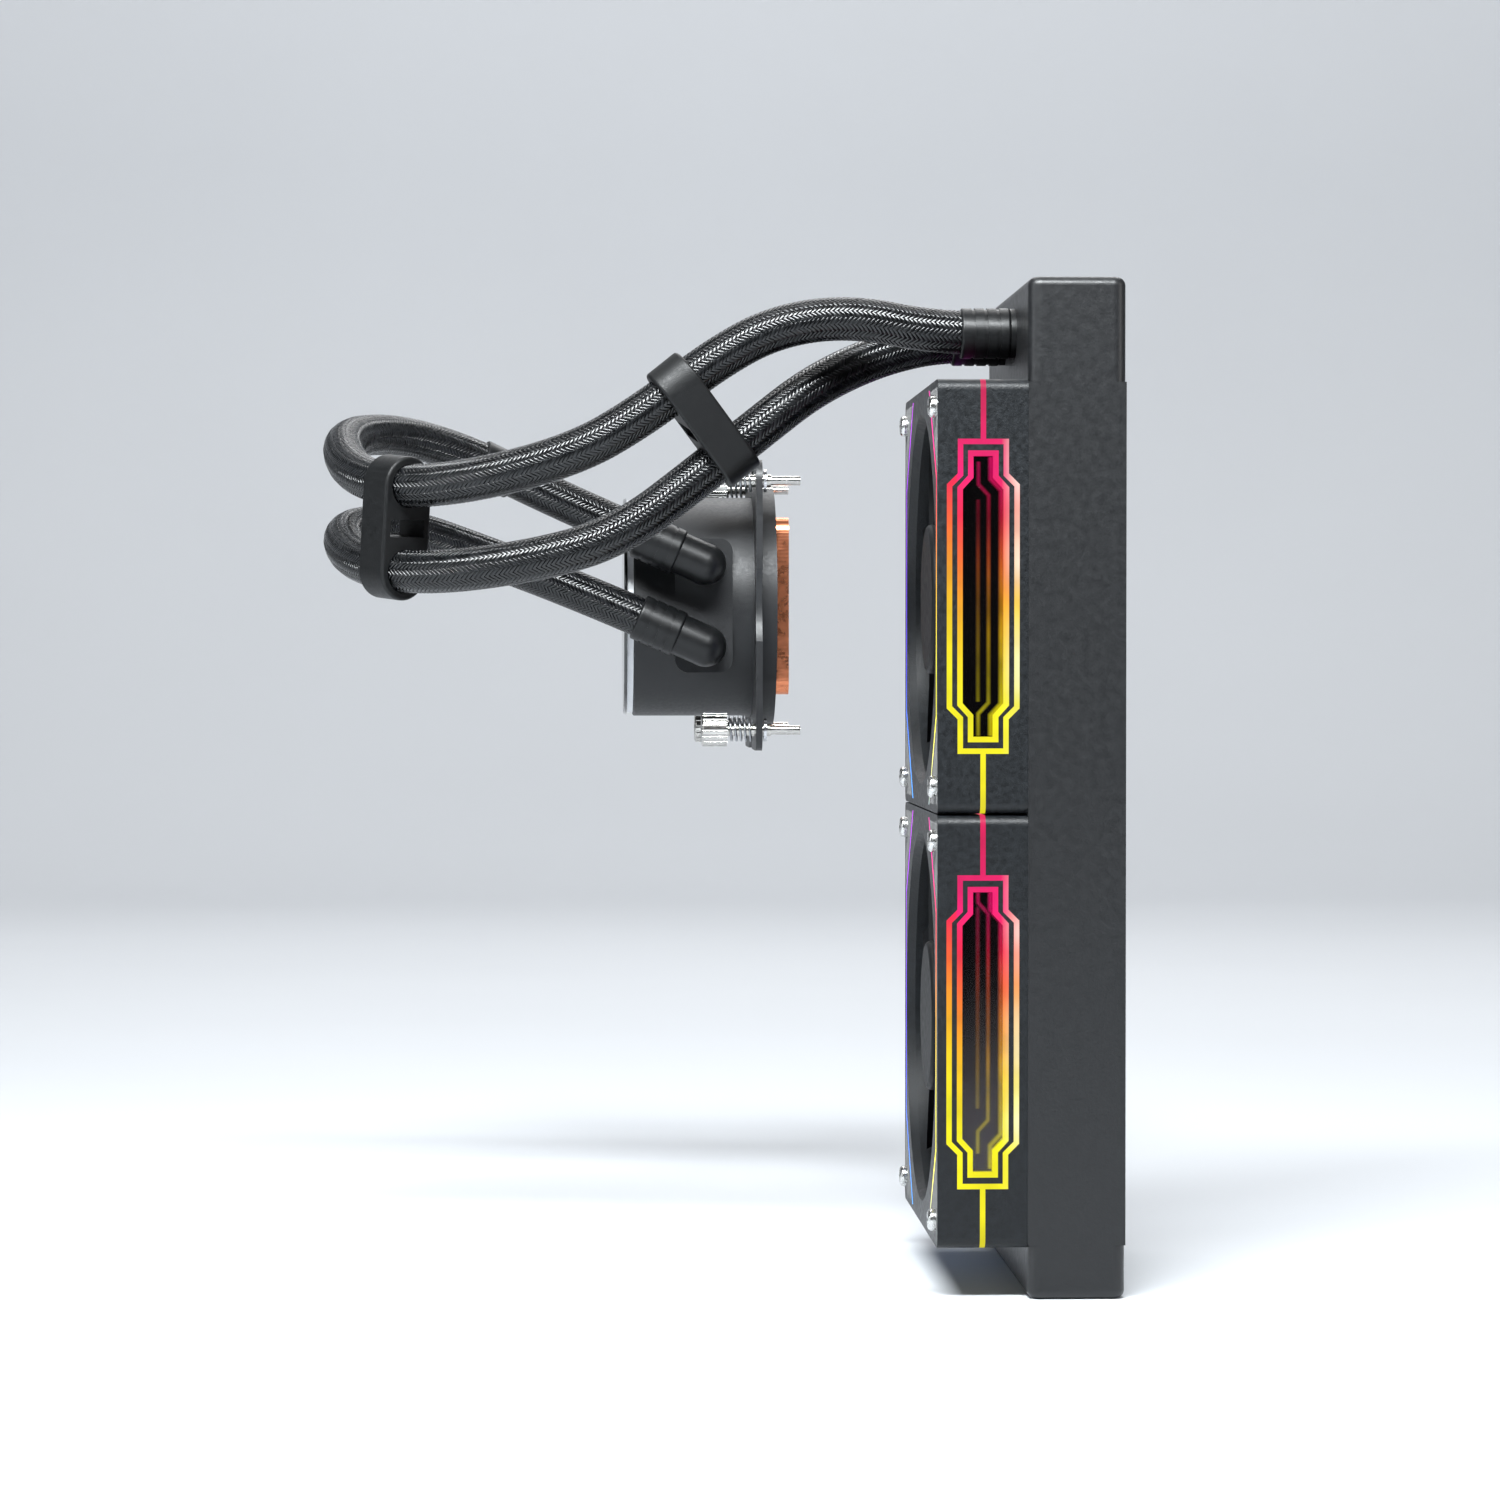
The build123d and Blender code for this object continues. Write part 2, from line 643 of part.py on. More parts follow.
def pump_magnet():
    return pump_ring(33.0, 42.5, 10.8, 5.0)


def pump_shaft():
    return pump_rod(12, 45.2, SHAFT_R)


def separator_cup():
    cup = pump_rod(33, 46, 12.2) - pump_rod(32, 45.2, 11.4)
    return cup + pump_ring(33, 34, 25.0, 11.4)


def pump_housing():
    body = pump_rod(9, 49, PUMP_R)
    body = fillet(body.edges().filter_by(GeomType.CIRCLE).sort_by(Axis.X)[0], 0.6)
    boss_z = (PUMP_Z - 21, PUMP_Z + 21)
    boss = block(up(18, 36), (BOSS_Y, PUMP_Y - 20), boss_z)
    boss = fillet(boss.edges().filter_by(Axis.Y), 4)
    body += boss
    body -= pump_rod(8, 33, 20.0)
    body -= pump_rod(33, 50, 30.0)
    for elbow in elbow_places().values():
        x, _, z = elbow
        body -= rod_y(x, (BOSS_Y - 1, BOSS_Y + 6.2), z, SPIGOT_R)
        body -= rod_y(x, (BOSS_Y, PUMP_Y - 10), z, 3.2)
    socket_y = PUMP_Y + PUMP_R
    body += block(up(36, 46), (socket_y - 7, socket_y + 2.5), (PUMP_Z - 7, PUMP_Z + 7))
    room = block(up(38, 44), (socket_y - 8, socket_y + 4), (PUMP_Z - 5.2, PUMP_Z + 5.2))
    return body - room


def inlet_pins():
    """Contacts of the cable inlet, on an insulating base in the housing's wall."""
    y = PUMP_Y + PUMP_R
    base = block(up(38, 44), (y - 6.5, y - 4.5), (PUMP_Z - 5.2, PUMP_Z + 5.2))
    pins = [
        rod_y(PLATE_X - 41, (y - 4.5, y + 1.0), PUMP_Z + step * 2.54, 0.32)
        for step in (-1.5, -0.5, 0.5, 1.5)
    ]
    return [base] + pins


def pump_circuit_board():
    board = pump_ring(46.4, 47.8, 28.5, 2.0)
    for y, z, w in ((12, 9, 5), (-14, 6, 4), (-10, -14, 6), (13, -12, 3.4)):
        board += block(
            up(47.8, 48.7),
            (PUMP_Y + y - w / 2, PUMP_Y + y + w / 2),
            (PUMP_Z + z - w / 2, PUMP_Z + z + w / 2),
        )
    return board


def pump_light_ring():
    return pump_ring(49, 51, 34.0, 30.5)


def pump_top_cap():
    cap = pump_rod(49, 52, 30.5) + pump_rod(51, 52, PUMP_R - 0.3)
    cap = fillet(cap.edges().filter_by(GeomType.CIRCLE).sort_by(Axis.X)[0], 0.7)
    return cap


def elbow_places():
    """Where each elbow turns, in line with its hose's last run."""
    places = {}
    for name, points in ROUTES.items():
        end = Vector(*points[-1])
        direction = (end - Vector(*points[-2])).normalized()
        corner = end + direction * ELBOW_ARM
        places[name] = (corner.X, corner.Y, corner.Z)
    return places


def elbow(place):
    neck = ELBOW_NECK
    into = rod_y(0, (0, neck), 0, ELBOW_R) + rod_y(0, (neck, neck + 6), 0, SPIGOT_R)
    seat = (neck + 2.1, neck + 3.7)
    groove = rod_y(0, seat, 0, SPIGOT_R + 1) - rod_y(0, seat, 0, SPIGOT_R - 0.9)
    out = rod_x((-ELBOW_ARM, 0), 0, 0, ELBOW_R)
    out += rod_x((-ELBOW_ARM - BARB_LENGTH, -ELBOW_ARM), 0, 0, BORE_HOSE_R)
    body = into + out + Sphere(ELBOW_R) - groove
    body -= rod_y(0, (0, 20), 0, 2.5) + rod_x((-40, 0), 0, 0, 2.5) + Sphere(2.5)
    return Pos(*place) * Rot(0, ELBOW_TURN, 0) * body


def elbow_seal(place):
    ring = Pos(0, ELBOW_NECK + 2.9, 0) * Rot(-90, 0, 0) * Torus(SPIGOT_R - 0.45, 0.44)
    return Pos(*place) * ring


def screw_places():
    return [(PUMP_Y + a * CPU_HALF, PUMP_Z + b * CPU_HALF) for a, b in CORNERS]


def mounting_bracket():
    plate = pump_square(9, 11, CPU_HALF + 6.5, 6.5)
    plate -= pump_rod(8, 12, PUMP_R + 0.4)
    for a, b in ((0, 1), (0, -1), (1, 0), (-1, 0)):
        plate -= Pos(0, a * 62, b * 62) * pump_rod(8, 12, 20.0)
    for y, z in screw_places():
        plate -= rod_x(up(8, 12), y, z, SCREW_SHANK_R + RUNNING_GAP)
    return plate


def captive_screw(y, z):
    head = rod_x(up(20, 28), y, z, 5.2)
    head = fillet(head.edges().filter_by(GeomType.CIRCLE).sort_by(Axis.X)[0], 0.9)
    for i in range(18):
        t = 2 * pi * i / 18
        head -= rod_x(up(20, 28), y + 5.35 * cos(t), z + 5.35 * sin(t), 0.45)
    for turn in (0, 90):
        slot = Rot(turn, 0, 0) * block((-1, 1.5), (-2.6, 2.6), (-0.6, 0.6))
        head -= Pos(PLATE_X - 28, y, z) * slot
    shank = rod_x(up(6.2, 20), y, z, SCREW_SHANK_R) + rod_x(up(-3, 6.2), y, z, 1.5)
    return head + shank


def retaining_ring(y, z):
    return ring_x(up(7.6, 8.5), y, z, 3.6, SCREW_SHANK_R)


def screw_spring(y, z):
    coil = Helix(pitch=1.5, height=7.5, radius=SPRING_R)
    start = Plane(origin=coil @ 0, z_dir=coil % 0)
    wire = sweep(start * Circle(SPRING_WIRE_R), path=coil, is_frenet=True)
    return Pos(PLATE_X - 11.75, y, z) * Rot(0, -90, 0) * wire


def save_pump():
    core, coils = stator((0, 8.5), 26.0, 12.2, 6)
    place = Pos(PLATE_X - 44, PUMP_Y, PUMP_Z)
    save("pump_cold_plate", cold_plate())
    save("pump_cold_plate_screws", cold_plate_screws())
    save("pump_cold_plate_seal", cold_plate_seal())
    save("pump_base_frame", base_frame())
    save("pump_flow_plate", flow_plate())
    save("pump_impeller", impeller())
    save("pump_magnet_ring", pump_magnet())
    save("pump_shaft", pump_shaft())
    save("pump_separator_cup", separator_cup())
    save("pump_stator_core", place * core)
    save("pump_coils", [place * coil for coil in coils])
    save("pump_circuit_board", pump_circuit_board())
    save("pump_housing", pump_housing())
    save("pump_inlet_pins", inlet_pins())
    save("pump_light_ring", pump_light_ring())
    save("pump_top_cap", pump_top_cap())
    save("pump_bracket", mounting_bracket())
    save("pump_captive_screws", [captive_screw(y, z) for y, z in screw_places()])
    save("pump_retaining_rings", [retaining_ring(y, z) for y, z in screw_places()])
    save("pump_screw_springs", [screw_spring(y, z) for y, z in screw_places()])
    save("pump_elbows", [elbow(place) for place in elbow_places().values()])
    save("pump_elbow_seals", [elbow_seal(place) for place in elbow_places().values()])


def save_radiator():
    top, core = CORE_HALF + HEADER_THICK, CORE_HALF
    save("radiator_top_tank", top_tank())
    save("radiator_bottom_tank", tank(-top, BOTTOM_TANK_END))
    save("radiator_header_plates", [header_plate((core, top)), header_plate((-top, -core))])
    save("radiator_flat_tubes", flat_tubes())
    save("radiator_fins", fin_strips())
    save("radiator_side_channels", [side_channel(-1), side_channel(1)])
    save("radiator_ports", [port(y) for y in PORT_Y.values()])
    save("radiator_fill_plug", fill_plug())
    save("radiator_fill_plug_seal", fill_plug_seal())
    save("fan_screws", fan_screws())


def save_hoses():
    for name, points in ROUTES.items():
        sleeve, liner = hose_layers(points)
        save(f"{name}_hose_sleeve", sleeve)
        save(f"{name}_hose_liner", liner)
    save("hose_ferrules", [end for points in ROUTES.values() for end in ferrules(points)])
    for name in CLIP_RUNS:
        save(f"hose_{name}", hose_clip(name))
    save("hose_collar", collar())


save_radiator()
fan_places = {name: Pos(-RAD_DEPTH, 0, z) for name, z in FANS.items()}
for fan_name, fan_place in fan_places.items():
    save_fan(fan_name, fan_place)
save_fan_pairs(fan_places.values())
save_hoses()
save_pump()
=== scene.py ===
"""Looks of the closed-loop liquid cooler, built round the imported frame."""

import json
import math

import bpy
import numpy as np
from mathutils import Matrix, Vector


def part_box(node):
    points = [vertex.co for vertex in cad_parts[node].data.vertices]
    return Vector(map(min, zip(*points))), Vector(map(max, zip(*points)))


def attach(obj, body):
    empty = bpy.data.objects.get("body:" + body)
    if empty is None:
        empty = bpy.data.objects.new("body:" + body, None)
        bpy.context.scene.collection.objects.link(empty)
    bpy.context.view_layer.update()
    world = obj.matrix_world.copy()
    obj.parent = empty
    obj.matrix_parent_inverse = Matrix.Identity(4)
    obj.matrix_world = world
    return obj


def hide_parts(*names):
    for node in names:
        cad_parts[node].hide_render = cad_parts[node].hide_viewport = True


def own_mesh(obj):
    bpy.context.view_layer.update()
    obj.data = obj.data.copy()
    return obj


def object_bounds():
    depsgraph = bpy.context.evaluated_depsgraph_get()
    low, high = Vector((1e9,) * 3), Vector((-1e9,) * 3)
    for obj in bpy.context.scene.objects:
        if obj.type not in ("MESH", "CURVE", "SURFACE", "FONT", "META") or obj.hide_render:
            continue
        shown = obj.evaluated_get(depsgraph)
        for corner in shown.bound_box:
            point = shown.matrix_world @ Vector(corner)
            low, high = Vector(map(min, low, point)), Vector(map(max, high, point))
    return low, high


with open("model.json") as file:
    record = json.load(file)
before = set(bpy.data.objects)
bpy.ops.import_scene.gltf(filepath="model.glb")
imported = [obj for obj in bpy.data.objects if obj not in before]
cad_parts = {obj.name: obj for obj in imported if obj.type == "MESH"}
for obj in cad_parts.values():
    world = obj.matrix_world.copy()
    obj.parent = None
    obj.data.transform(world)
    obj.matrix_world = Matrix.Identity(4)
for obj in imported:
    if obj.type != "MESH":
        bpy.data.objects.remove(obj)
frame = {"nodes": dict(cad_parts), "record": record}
cad_box = [list(corner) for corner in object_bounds()]
MM = 0.001
ROOT = "cooler"

# ---------------------------------------------------------------- places read from the frame

FAN_NAMES = ("upper", "lower")
FAN_BOX = {name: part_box(f"{name}_fan_frame") for name in FAN_NAMES}
FAN_CENTRE = {name: (box[0] + box[1]) / 2 for name, box in FAN_BOX.items()}

# The hoses' centrelines, radiator port first, in metres.
ROUTES = {
    "upper": [
        (-0.0285, -0.020, 0.135), (-0.049, -0.020, 0.135), (-0.073, -0.020, 0.140),
        (-0.095, -0.020, 0.137), (-0.1135, -0.0208, 0.1265), (-0.131, -0.022, 0.1125),
        (-0.153, -0.0235, 0.0995), (-0.191, -0.015, 0.091), (-0.215, 0.0125, 0.0945),
        (-0.222, 0.050, 0.108), (-0.209, 0.083, 0.112), (-0.188, 0.1015, 0.1075),
        (-0.1635, 0.1083, 0.0958), (-0.143, 0.109, 0.0865), (-0.119, 0.109, 0.076),
    ],
    "lower": [
        (-0.0285, 0.010, 0.135), (-0.044, 0.010, 0.135), (-0.059, 0.0072, 0.132),
        (-0.073, 0.0015, 0.1265), (-0.086, -0.0075, 0.119), (-0.0975, -0.0122, 0.1099),
        (-0.1186, -0.0136, 0.0931), (-0.135, -0.018, 0.0805), (-0.153, -0.0205, 0.0725),
        (-0.191, -0.0145, 0.0665), (-0.215, 0.0125, 0.070), (-0.222, 0.050, 0.081),
        (-0.207, 0.086, 0.0845), (-0.175, 0.108, 0.0735), (-0.143, 0.109, 0.061),
        (-0.119, 0.109, 0.0505),
    ],
}

# ---------------------------------------------------------------- material helpers


def rgb(red, green, blue):
    """A screen colour, each part from 0 to 255, as linear light."""
    parts = [value / 255 for value in (red, green, blue)]
    light = [p / 12.92 if p <= 0.04045 else ((p + 0.055) / 1.055) ** 2.4 for p in parts]
    return (*light, 1.0)


def new_material(name, **sockets):
    """A material with one Principled shader, whose constant sockets are given by name."""
    mat = bpy.data.materials.new(name)
    mat.use_nodes = True
    tree = mat.node_tree
    shader = tree.nodes["Principled BSDF"]
    for socket, value in sockets.items():
        shader.inputs[socket.replace("_", " ")].default_value = value
    return mat, tree, shader


def add(tree, kind, **settings):
    node = tree.nodes.new(kind)
    for name, value in settings.items():
        setattr(node, name, value)
    return node


def place(tree, stretch=(1, 1, 1)):
    """Row-frame coordinates in metres, stretched along each axis."""
    coords = add(tree, "ShaderNodeTexCoord")
    mapping = add(tree, "ShaderNodeMapping")
    mapping.inputs["Scale"].default_value = stretch
    tree.links.new(coords.outputs["Object"], mapping.inputs["Vector"])
    return mapping.outputs["Vector"]


def noise(tree, size, detail=3.0, stretch=(1, 1, 1)):
    """Noise whose blotches are about size metres across."""
    node = add(tree, "ShaderNodeTexNoise")
    node.inputs["Scale"].default_value = 1 / size
    node.inputs["Detail"].default_value = detail
    tree.links.new(place(tree, stretch), node.inputs["Vector"])
    return node.outputs["Fac"]


def remap(tree, value, source, target):
    node = add(tree, "ShaderNodeMapRange")
    for name, number in zip(("From Min", "From Max", "To Min", "To Max"), source + target):
        node.inputs[name].default_value = number
    tree.links.new(value, node.inputs["Value"])
    return node.outputs["Result"]


def ramp(tree, value, stops):
    """Colours along a value, as (place, colour) pairs."""
    node = add(tree, "ShaderNodeValToRGB")
    band = node.color_ramp
    while len(band.elements) < len(stops):
        band.elements.new(0.5)
    for element, (at, colour) in zip(band.elements, stops):
        element.position = at
        element.color = colour
    tree.links.new(value, node.inputs["Fac"])
    return node.outputs["Color"]


def blend_colours(tree, factor, first, second, how="MIX"):
    node = add(tree, "ShaderNodeMix", data_type="RGBA", blend_type=how)
    for socket, value in zip((0, 6, 7), (factor, first, second)):
        if isinstance(value, (int, float, tuple)):
            node.inputs[socket].default_value = value
        else:
            tree.links.new(value, node.inputs[socket])
    return node.outputs[2]


def maths(tree, how, first, second=0.0):
    node = add(tree, "ShaderNodeMath", operation=how)
    for socket, value in enumerate((first, second)):
        if isinstance(value, (int, float)):
            node.inputs[socket].default_value = value
        else:
            tree.links.new(value, node.inputs[socket])
    return node.outputs[0]


def axes_of(tree, vector):
    """The X, Y and Z outputs of a vector."""
    node = add(tree, "ShaderNodeSeparateXYZ")
    tree.links.new(vector, node.inputs[0])
    return node.outputs


def across_strip(tree):
    """How far a point lies across its strip or stitch, from 0 to 1."""
    uv = add(tree, "ShaderNodeUVMap", uv_map="across")
    return axes_of(tree, uv.outputs["UV"])["X"]


def bump(tree, shader, height, distance):
    node = add(tree, "ShaderNodeBump")
    node.inputs["Distance"].default_value = distance
    node.inputs["Strength"].default_value = 1.0
    tree.links.new(height, node.inputs["Height"])
    tree.links.new(node.outputs["Normal"], shader.inputs["Normal"])


def shade(colour, factor):
    return tuple(c * factor for c in colour[:3]) + (1.0,)


def vary(tree, shader, colour, amount, size, rough, stretch=(1, 1, 1)):
    """Slow changes in tone and in roughness."""
    patches = noise(tree, size, 4.0, stretch)
    stops = [(0.3, shade(colour, 1 - amount)), (0.7, shade(colour, 1 + amount))]
    tree.links.new(ramp(tree, patches, stops), shader.inputs["Base Color"])
    tree.links.new(remap(tree, patches, (0.3, 0.7), rough), shader.inputs["Roughness"])


def moulded(name, colour, rough, grain=0.00035, depth=0.00003, tone=0.18, shine=0.4):
    """Moulded plastic with a fine spark-eroded grain."""
    mat, tree, shader = new_material(name, Specular_IOR_Level=shine)
    vary(tree, shader, colour, tone, 3 * grain, rough)
    bump(tree, shader, noise(tree, grain, 2.0), depth)
    return mat


def rubber(name, colour, rough):
    mat, tree, shader = new_material(name, Specular_IOR_Level=0.3, Sheen_Weight=0.15)
    vary(tree, shader, colour, 0.2, 0.003, rough)
    bump(tree, shader, noise(tree, 0.0008, 4.0), 0.00004)
    return mat


def powder_coat(name, colour):
    """Black powder coat with a faint orange peel."""
    mat, tree, shader = new_material(name, Specular_IOR_Level=0.5)
    vary(tree, shader, colour, 0.12, 0.0025, (0.38, 0.46))
    bump(tree, shader, noise(tree, 0.0009, 3.0), 0.00005)
    return mat


def metal(name, colour, rough, lines=(1, 1, 1), size=0.002, depth=0.000015):
    """Bare metal; lines stretches its machining marks along an axis."""
    mat, tree, shader = new_material(name, Metallic=1.0)
    vary(tree, shader, colour, 0.12, size, rough, lines)
    bump(tree, shader, noise(tree, size / 4, 3.0, lines), depth)
    return mat


def turned(name, colour, centre, pitch):
    """Metal faced on a lathe, with fine rings round an axis along X."""
    mat, tree, shader = new_material(name, Metallic=1.0)
    vary(tree, shader, colour, 0.12, 0.004, (0.22, 0.36))
    at = axes_of(tree, place(tree))
    y = maths(tree, "SUBTRACT", at["Y"], centre.y)
    z = maths(tree, "SUBTRACT", at["Z"], centre.z)
    squares = maths(tree, "ADD", maths(tree, "MULTIPLY", y, y), maths(tree, "MULTIPLY", z, z))
    radius = maths(tree, "SQRT", squares)
    rings = maths(tree, "SINE", maths(tree, "MULTIPLY", radius, math.tau / pitch))
    bump(tree, shader, rings, 0.000012)
    return mat


# ---------------------------------------------------------------- light colours

# Colours down each fan's near side, by height above the fan's centre in millimetres.
NEAR_COLOURS = [
    (-60, rgb(150, 140, 40)), (-43, rgb(250, 238, 20)), (-20, rgb(248, 240, 22)),
    (-3, rgb(250, 205, 22)), (8, rgb(250, 165, 30)), (20, rgb(252, 105, 45)),
    (31, rgb(250, 35, 75)), (43, rgb(252, 18, 118)), (60, rgb(215, 18, 88)),
]
# The same down the far edge.
FAR_COLOURS = [
    (-60, rgb(70, 165, 250)), (-20, rgb(60, 60, 240)),
    (20, rgb(120, 40, 220)), (60, rgb(175, 60, 200)),
]
LIGHT_REACH = 60.0                         # from the fan's centre to either end, in mm
NEAR_TO_FAR = (-0.056, 0.02)               # Y over which the near colours give way to the far ones
INNER_LINE = (0.0071, 0.0074)              # X from the centre between the inner and outer lines
# The colours of each painted reflection lie lower than those of the inner light.
IMAGE_LAG = 0.009                          # how much lower the colours of an image lie


def height_stops(colours):
    return [((mm + LIGHT_REACH) / (2 * LIGHT_REACH), colour) for mm, colour in colours]


def light_colour(tree, at, height):
    """The colour of a light at a height above its fan's centre."""
    reach = LIGHT_REACH * MM
    along = remap(tree, height, (-reach, reach), (0.0, 1.0))
    near = ramp(tree, along, height_stops(NEAR_COLOURS))
    far = ramp(tree, along, height_stops(FAR_COLOURS))
    depth = remap(tree, at["Y"], NEAR_TO_FAR, (0.0, 1.0))
    return blend_colours(tree, depth, near, far)


def fan_light(name, centre, strength, half_width, inner_lag):
    """A lit diffuser: its colour runs down the fan, lags on the inner line and pales to +X."""
    mat, tree, shader = new_material(
        name,
        Base_Color=(0.004, 0.004, 0.004, 1),
        Specular_IOR_Level=0.1,
        Emission_Strength=strength,
    )
    at = axes_of(tree, place(tree))
    height = maths(tree, "SUBTRACT", at["Z"], centre.z)
    across = maths(tree, "SUBTRACT", at["X"], centre.x)
    lag = remap(tree, maths(tree, "ABSOLUTE", across), INNER_LINE, (inner_lag, 0.0))
    colour = light_colour(tree, at, maths(tree, "ADD", height, lag))
    hot = remap(tree, across, (half_width * 0.5, half_width * 0.95), (0.0, 1.0))
    spots = remap(tree, noise(tree, 0.02, 1.0, (0.2, 0.2, 1)), (0.35, 0.65), (0.1, 0.75))
    warm_white = (1.0, 0.98, 0.86, 1.0)
    colour = blend_colours(tree, maths(tree, "MULTIPLY", hot, spots), colour, warm_white)
    level = remap(tree, noise(tree, 0.009, 2.0), (0.3, 0.7), (0.78, 1.0))
    colour = blend_colours(tree, 1.0, colour, level, "MULTIPLY")
    tree.links.new(colour, shader.inputs["Emission Color"])
    return mat


def painted_reflection_light(name, centre, strength):
    """A painted reflection: a glowing strip stands in for a soft image of the inner light in the
    dark mirror, and fades towards both edges.
    """
    mat, tree, shader = new_material(
        name, Base_Color=(0.004, 0.003, 0.003, 1), Roughness=0.25, Emission_Strength=strength
    )
    at = axes_of(tree, place(tree))
    height = maths(tree, "SUBTRACT", at["Z"], centre.z - IMAGE_LAG)
    colour = light_colour(tree, at, height)
    off = maths(tree, "ABSOLUTE", maths(tree, "SUBTRACT", across_strip(tree), 0.5))
    fade = remap(tree, off, (0.08, 0.5), (1.0, 0.0))
    patches = remap(tree, noise(tree, 0.012, 2.0), (0.3, 0.7), (0.45, 1.0))
    fade = maths(tree, "MULTIPLY", fade, patches)
    colour = blend_colours(tree, 1.0, colour, fade, "MULTIPLY")
    tree.links.new(colour, shader.inputs["Emission Color"])
    return mat


FILAMENTS = 7              # side by side in one stitch


def braid_material():
    """Tight black nylon braid that catches the light along each stitch."""
    mat, tree, shader = new_material("nylon_braid", Specular_IOR_Level=0.5)
    tone = add(tree, "ShaderNodeAttribute", attribute_name="tone")
    stops = [(0.0, (0.001, 0.0013, 0.0016, 1)), (1.0, (0.0035, 0.004, 0.005, 1))]
    tree.links.new(ramp(tree, tone.outputs["Fac"], stops), shader.inputs["Base Color"])
    rough = remap(tree, tone.outputs["Fac"], (0.0, 1.0), (0.2, 0.3))
    tree.links.new(rough, shader.inputs["Roughness"])
    turns = maths(tree, "MULTIPLY", across_strip(tree), math.tau * FILAMENTS)
    bump(tree, shader, maths(tree, "SINE", turns), 0.000002)
    return mat


def smoked_glass():
    mat, tree, shader = new_material(
        "smoked_window", Base_Color=(0.62, 0.58, 0.6, 1), Transmission_Weight=1.0, IOR=1.3
    )
    rough = remap(tree, noise(tree, 0.004, 3.0), (0.3, 0.7), (0.01, 0.06))
    tree.links.new(rough, shader.inputs["Roughness"])
    return mat


def dark_mirror():
    mat, tree, shader = new_material("dark_mirror", Metallic=1.0)
    vary(tree, shader, (0.035, 0.028, 0.03, 1), 0.2, 0.01, (0.05, 0.14))
    return mat


def glossy(name, colour, rough, coat=0.6):
    mat, tree, shader = new_material(
        name, Specular_IOR_Level=0.5, Coat_Weight=coat, Coat_Roughness=0.06
    )
    vary(tree, shader, colour, 0.1, 0.02, rough)
    return mat


def circuit_board():
    """Solder mask over copper traces."""
    mat, tree, shader = new_material("circuit_board", Specular_IOR_Level=0.5)
    traces = add(tree, "ShaderNodeTexBrick")
    traces.inputs["Scale"].default_value = 260
    traces.inputs["Color1"].default_value = (0.006, 0.05, 0.022, 1)
    traces.inputs["Color2"].default_value = (0.008, 0.065, 0.03, 1)
    traces.inputs["Mortar"].default_value = (0.02, 0.13, 0.06, 1)
    traces.inputs["Mortar Size"].default_value = 0.04
    tree.links.new(place(tree), traces.inputs["Vector"])
    tree.links.new(traces.outputs["Color"], shader.inputs["Base Color"])
    rough = remap(tree, noise(tree, 0.003), (0.3, 0.7), (0.28, 0.45))
    tree.links.new(rough, shader.inputs["Roughness"])
    return mat


def wound_wire():
    """Enamelled copper wire laid in turns."""
    mat, tree, shader = new_material("wound_wire", Metallic=0.9)
    vary(tree, shader, (0.55, 0.2, 0.08, 1), 0.2, 0.002, (0.25, 0.4))
    turns = add(tree, "ShaderNodeTexWave", bands_direction="X")
    turns.inputs["Scale"].default_value = 700
    turns.inputs["Distortion"].default_value = 0.6
    tree.links.new(place(tree), turns.inputs["Vector"])
    bump(tree, shader, turns.outputs["Fac"], 0.00008)
    return mat


# ---------------------------------------------------------------- mesh helpers


def mesh_object(name, vertices, faces, mat, smooth=True):
    mesh = bpy.data.meshes.new(name)
    mesh.from_pydata([tuple(v) for v in vertices], [], [tuple(int(i) for i in f) for f in faces])
    mesh.validate()
    mesh.materials.append(mat)
    mesh.polygons.foreach_set("use_smooth", [smooth] * len(mesh.polygons))
    obj = bpy.data.objects.new(name, mesh)
    bpy.context.scene.collection.objects.link(obj)
    return obj


def write_across(mesh, across, second):
    """Stores two numbers per vertex as the UV map named across."""
    corners = np.zeros(len(mesh.loops), np.int32)
    mesh.loops.foreach_get("vertex_index", corners)
    uv = np.stack([across[corners], second[corners]], axis=1).astype(np.float32)
    mesh.uv_layers.new(name="across").data.foreach_set("uv", uv.ravel())


def hose_line(name):
    """Points along the smooth spline that a hose's route gives."""
    curve = bpy.data.curves.new(name, "CURVE")
    curve.dimensions = "3D"
    curve.resolution_u = 24
    route = ROUTES[name]
    spline = curve.splines.new("NURBS")
    spline.points.add(len(route) - 1)
    for point, at in zip(spline.points, route):
        point.co = (*at, 1.0)
    spline.order_u = 3
    spline.use_endpoint_u = True
    holder = bpy.data.objects.new(name, curve)
    mesh = bpy.data.meshes.new_from_object(holder)
    points = np.array([v.co for v in mesh.vertices], float)
    bpy.data.objects.remove(holder)
    bpy.data.meshes.remove(mesh)
    return points


def carried_frames(points):
    """Distance along a line, and two sideways directions at each point that don't twist."""
    steps = np.linalg.norm(np.diff(points, axis=0), axis=1)
    distance = np.concatenate([[0.0], np.cumsum(steps)])
    tangents = np.gradient(points, axis=0)
    tangents /= np.linalg.norm(tangents, axis=1)[:, None]
    side = np.cross(tangents[0], (0, 0, 1))
    sides = []
    for tangent in tangents:
        side = side - tangent * side.dot(tangent)
        side /= np.linalg.norm(side)
        sides.append(side.copy())
    sides = np.array(sides)
    return distance, sides, np.cross(tangents, sides)


def on_hose(line, along, turn, radius):
    """Points at a distance along a line, an angle round it and a radius from it."""
    points, (distance, sides, others) = line
    at = [np.array([np.interp(along, distance, table[:, k]) for k in range(3)]).T
          for table in (points, sides, others)]
    out = at[1] * np.cos(turn)[:, None] + at[2] * np.sin(turn)[:, None]
    out /= np.linalg.norm(out, axis=1)[:, None]
    return at[0] + out * radius[:, None]


# ---------------------------------------------------------------- hoses

